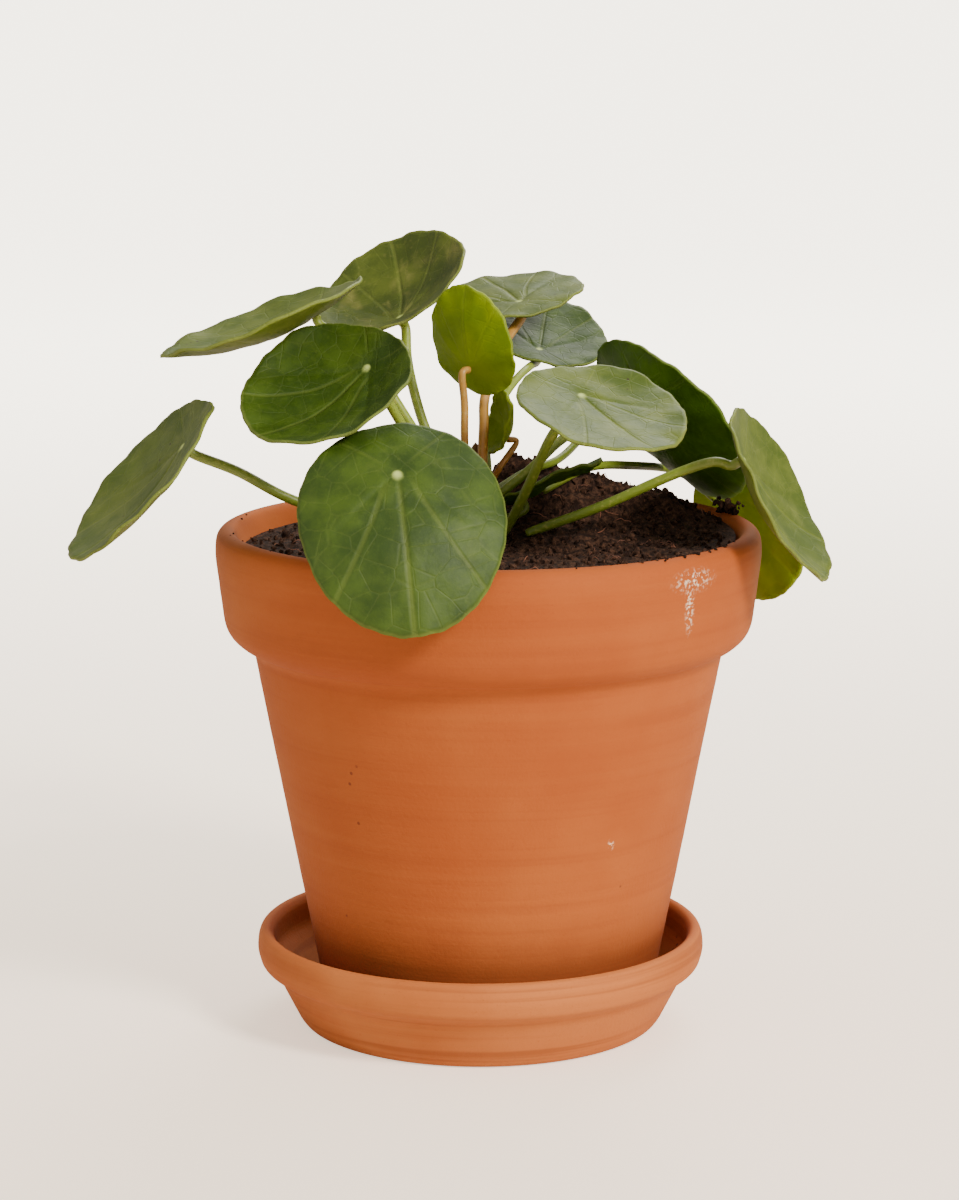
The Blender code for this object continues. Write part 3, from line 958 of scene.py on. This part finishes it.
    def make_stalk(self, node: Any, skin: Any) -> None:
        """Round the frame's own stalk off into a smooth one.

        Args:
            node: the frame's stalk.
            skin: its material.
        """
        shape = bmesh.new()
        shape.from_mesh(node.data)
        bmesh.ops.remove_doubles(shape, verts=shape.verts, dist=0.00001)
        bmesh.ops.join_triangles(shape, faces=shape.faces,
                                 angle_face_threshold=0.6, angle_shape_threshold=0.9)
        shape.normal_update()
        push = [(vertex, vertex.normal * self.stalk_push * MM) for vertex in shape.verts]
        for vertex, shift in push:
            vertex.co += shift
        stalk = finished("stem_of_" + self.name, shape, [skin])
        soft = stalk.modifiers.new("round", "SUBSURF")
        soft.levels = soft.render_levels = 2
        adopt(stalk, "reddish_stalk" if self.red else "green_stalk", "stalk_" + self.name)


@dataclass
class Crown:
    """The short woody stem and the bud on it."""

    steps: int = 32
    scar_depth: float = 0.10

    def make_stem(self, bark: Any) -> None:
        """Build the scarred stem, as tall and thick as the frame's.

        Args:
            bark: its material.
        """
        low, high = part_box("stem")
        tall, foot = (high.z - low.z) / MM, (high.x - low.x) / 2.0 / MM
        profile = [(0.0, tall + 0.2), (foot * 0.55, tall), (foot * 0.75, tall - 1.5),
                   (foot * 0.86, tall * 0.68), (foot * 0.98, tall * 0.35), (foot, 0.0), (0.0, 0.0)]
        shape = spun(filled_in(rounded(profile, 1.0), 1.0), self.steps)
        for vertex in shape.verts:
            scars = noise.noise(Vector((vertex.co.x * 90.0, vertex.co.y * 90.0, vertex.co.z * 420.0)))
            vertex.co.x *= 1.0 + self.scar_depth * scars
            vertex.co.y *= 1.0 + self.scar_depth * scars
        seat(shape, "stem")
        adopt(finished("woody_stem", shape, [bark]), "stem_bark", "stem")

    def make_bud(self, skin: Any) -> None:
        """Build the folded bud, as tall as the frame's.

        Args:
            skin: its material.
        """
        low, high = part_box("bud")
        tall, wide = (high.z - low.z) / MM, (high.x - low.x) / 2.0 / MM
        shares = ((0.0, 1.0), (0.4, 0.9), (0.75, 0.73), (0.98, 0.5), (0.98, 0.3), (0.7, 0.1), (0.0, 0.0))
        tip = spun([(wide * across, tall * up) for across, up in shares], 24)
        for vertex in tip.verts:
            vertex.co.y *= 0.75
        seat(tip, "bud")
        adopt(finished("young_bud", tip, [skin]), "lime_blade", "bud")


LEAVES = (
    Leaf("front", Tone.DARK, 68.1, 0.88, 273, 33, 5, -8.0, 0.27),
    Leaf("left_front", Tone.DARK, 52.3, 1.07, 239, 54, -24, 7.5, 0.20),
    Leaf("far_left", Tone.PALE, 63.6, 1.01, 195, 43, 13, 5.8, 0.23),
    Leaf("upper_left", Tone.PALE, 65.3, 1.04, 181, 70, 28, 6.5, 0.22),
    Leaf("top", Tone.OLIVE, 50.9, 1.02, 225, 52, -140, 7.8, 0.27),
    Leaf("lime", Tone.LIME, 35.6, 0.94, 48, 15, -178, 3.5, 0.26, True),
    Leaf("back_top", Tone.PALE, 49.6, 0.98, 230, 76, -121, -1.3, 0.26, True),
    Leaf("back_right", Tone.DARK, 45.9, 0.95, 297, 64, 150, 2.1, 0.25),
    Leaf("right_front", Tone.PALE, 53.2, 0.96, 296, 68, 7, 2.8, 0.26),
    Leaf("right_back", Tone.FRESH, 64.9, 0.99, 32, 36, 21, 7.0, 0.26),
    Leaf("far_right", Tone.PALE, 59.1, 0.99, 346, 30, -2, 6.7, 0.25),
    Leaf("low_right", Tone.LIME, 52.0, 0.97, 40, 3, -55, -1.0, 0.23),
    Leaf("low_dark", Tone.FRESH, 39.6, 0.48, 143, 63, -166, -1.2, 0.25),
    Leaf("young", Tone.LIME, 20.3, 0.96, 199, 12, -173, 3.9, 0.24, True),
    Leaf("behind", Tone.DARK, 38.0, 0.98, 75, 50, 10, 3.0, 0.26),
)


@dataclass
class Studio:
    """Pale floor, soft lights and the camera."""

    camera_place: tuple = (-0.0028, -1.080, 0.333)
    pitch: float = 10.4
    lens: float = 105.0
    sky: float = 0.85
    backdrop: float = 5.0

    def make_floor(self) -> None:
        """A wide pale floor with painted light: its colour lightens with distance, and it glows for the
        camera alone, more strongly far away.
        """
        shape = bmesh.new()
        bmesh.ops.create_circle(shape, cap_ends=True, segments=96, radius=40.0)
        graph = Graph("paper_floor")
        depth = graph.node("ShaderNodeSeparateXYZ", {}, {0: graph.place()}, "Y")
        # Painted light: the floor's tint and its camera-only glow both grow lighter with distance, so the
        # floor fades into the backdrop.
        far = graph.step(depth, -0.3, 2.2)
        tint = graph.mix(far, srgb(244, 228, 212), srgb(247, 243, 235))
        seen = graph.node("ShaderNodeLightPath", output="Is Camera Ray")
        glow = graph.mix(seen, (0.0, 0.0, 0.0), graph.mix(far, (0.95, 0.78, 0.62), (4.2, 3.9, 3.3)))
        floor = finished("floor", shape, [graph.finish(
            {"Base Color": tint, "Roughness": 0.9, "Emission Color": glow, "Emission Strength": 1.0})], False)
        floor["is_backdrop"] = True

    def light(self, name: str, place: tuple, power: float, size: float, colour: Colour) -> None:
        """Add a square soft light aimed at the plant.

        Args:
            name: the lamp's name.
            place: its place in metres.
            power: its power in watts.
            size: its side in metres.
            colour: its colour.
        """
        lamp = bpy.data.lights.new(name, "AREA")
        lamp.energy = power
        lamp.size = size
        lamp.color = colour
        holder = bpy.data.objects.new(name, lamp)
        holder.location = place
        low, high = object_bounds()
        aim = (low + high) / 2.0 - Vector(place)
        holder.rotation_euler = aim.to_track_quat("-Z", "Y").to_euler()
        bpy.context.scene.collection.objects.link(holder)

    def make_lights(self) -> None:
        """Key from the front right, fill from the left, a rim light from behind and an even sky."""
        self.light("key", (1.1, -1.3, 1.3), 58.0, 0.45, (1.0, 0.94, 0.86))
        self.light("fill", (-1.4, -1.0, 0.9), 4.0, 1.2, (0.96, 0.98, 1.0))
        self.light("back", (0.5, 1.5, 1.5), 26.0, 1.0, (1.0, 0.98, 0.94))
        world = bpy.data.worlds.new("studio")
        graph = Graph("studio", world)
        seen = graph.node("ShaderNodeLightPath", output="Is Camera Ray")
        strength = graph.node("ShaderNodeMapRange", {}, {0: seen, 3: self.sky, 4: self.backdrop})
        colour = srgb(248, 240, 226)
        graph.node_out(graph.node("ShaderNodeBackground", {}, {"Color": colour, "Strength": strength}))
        bpy.context.scene.world = world

    def make_camera(self) -> None:
        """The camera, in front of the plant and looking slightly down."""
        data = bpy.data.cameras.new("camera")
        data.lens = self.lens
        data.sensor_width = 36.0
        data.clip_end = 200.0
        camera = bpy.data.objects.new("camera", data)
        camera.location = self.camera_place
        camera.rotation_euler = (math.radians(90.0 - self.pitch), 0.0, 0.0)
        bpy.context.scene.collection.objects.link(camera)
        bpy.context.scene.camera = camera


def main() -> None:
    """Build the looks in order."""
    logging.basicConfig(level=logging.INFO, format="%(message)s")
    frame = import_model()
    studio = Studio()
    studio.make_camera()
    studio.make_floor()
    studio.make_lights()
    crockery = Crockery()
    crockery.make_saucer(SAUCER_CLAY.material())
    crockery.make_pot(POT_CLAY.material())
    bed = SoilBed()
    bed.measure(frame["nodes"]["soil"])
    soil = SoilFinish().material()
    bed.make_bed(soil)
    bed.make_crumbs(soil)
    bed.make_roots(FibreFinish("root_fibre", srgb(136, 84, 60), srgb(82, 48, 34)).material())
    crown = Crown()
    crown.make_stem(BarkFinish().material())
    crown.make_bud(FibreFinish("bud_skin", srgb(120, 126, 24), srgb(104, 72, 30)).material())
    skins = {tone: (TOP_SKINS[tone].material(), UNDER_SKINS[tone].material()) for tone in Tone}
    stalks = {False: GREEN_STALK.material(), True: RED_STALK.material()}
    for number, leaf in enumerate(LEAVES):
        leaf.make_blade(1.37 * number + 0.4, skins[leaf.tone])
        leaf.make_stalk(frame["nodes"]["stalk_" + leaf.name], stalks[leaf.red])


if __name__ == "__main__":
    main()
